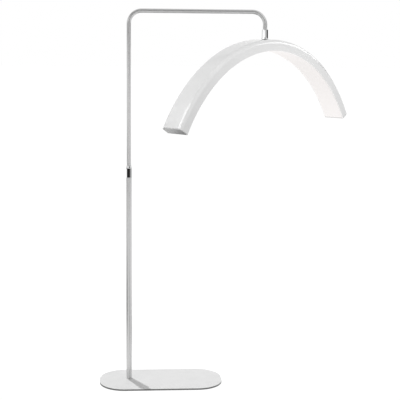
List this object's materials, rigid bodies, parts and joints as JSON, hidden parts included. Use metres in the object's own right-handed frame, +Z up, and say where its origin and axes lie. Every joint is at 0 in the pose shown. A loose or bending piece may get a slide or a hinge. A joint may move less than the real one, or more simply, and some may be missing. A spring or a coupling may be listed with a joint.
{
  "type": "arc floor lamp",
  "caption": "Free-standing task lamp: flat round-cornered base, telescoping pole bent into an arm, and a half-moon light head that swivels on its drop.",
  "frame": {"origin": "on the floor, on the axis of the pole", "axes": "+X along the arm, towards the light head; +Y to the back; +Z up the pole"},
  "size_m": [1.2019, 0.9486, 1.697],
  "materials": {
    "plate_paint": "satin light grey powder coat",
    "foam_pad": "fine closed foam",
    "plain_steel": "zinc plated",
    "tube_silver": "satin silver paint",
    "black_rubber": "moulded",
    "nylon": "moulded nylon",
    "bright_chrome": "mirror",
    "lead_jacket": "smooth jacket",
    "shell_white": "glossy white",
    "cap_white": "glossy white",
    "diffuser_opal": "opal, fine matt",
    "carrier_aluminium": "mill finish",
    "board_white": "white solder mask",
    "gap_pad": "soft pad",
    "driver_case": "moulded"
  },
  "bodies": {
    "stand": {"base_plate": "plate_paint", "floor_pad": "foam_pad", "foot_plug": "plain_steel", "base_bolt": "plain_steel", "dowel_pin": "plain_steel", "lower_tube": "tube_silver", "lead_grommet": "black_rubber", "clamp_ferrule": "plain_steel", "split_collet": "nylon"},
    "collar": {"twist_collar": "bright_chrome"},
    "glide": {"glide_ring": "nylon"},
    "arm": {"glide_clip": "plain_steel", "tube_end_cap": "nylon", "arm_tube": "tube_silver", "arm_lead": "lead_jacket", "drop_plug": "plain_steel", "swivel_sleeve": "bright_chrome", "sleeve_set_screw": "plain_steel", "swivel_stud": "plain_steel", "swivel_washer": "plain_steel", "wave_washer": "plain_steel", "swivel_nut": "plain_steel"},
    "head": {"arc_housing": "shell_white", "swivel_bush": "nylon", "mount_bracket": "plain_steel", "bracket_screws": "plain_steel", "led_carrier": "carrier_aluminium", "led_board_1": "board_white", "led_board_2": "board_white", "led_board_3": "board_white", "led_board_4": "board_white", "led_board_5": "board_white", "led_board_6": "board_white", "driver_pad": "gap_pad", "driver_module": "driver_case", "diffuser": "diffuser_opal", "left_end_cap": "cap_white", "right_end_cap": "cap_white", "end_cap_screws": "plain_steel"}
  },
  "joints": [
    {"name": "height_slide", "type": "slide", "parent": "stand", "child": "glide", "axis": [0, 0, 1], "range_m": [-0.6, 0.12]},
    {"name": "arm_swivel", "type": "hinge", "parent": "glide", "child": "arm", "pos_m": [0, 0, 0.78], "axis": [0, 0, 1], "range_deg": [-180, 180]},
    {"name": "collar_twist", "type": "hinge", "parent": "stand", "child": "collar", "pos_m": [0, 0, 0.975], "axis": [0, 0, 1], "range_deg": [0, 60]},
    {"name": "head_swivel", "type": "hinge", "parent": "arm", "child": "head", "pos_m": [0.602, 0, 1.5675], "axis": [0, 0, 1], "range_deg": [-36.5, 126]}
  ]
}
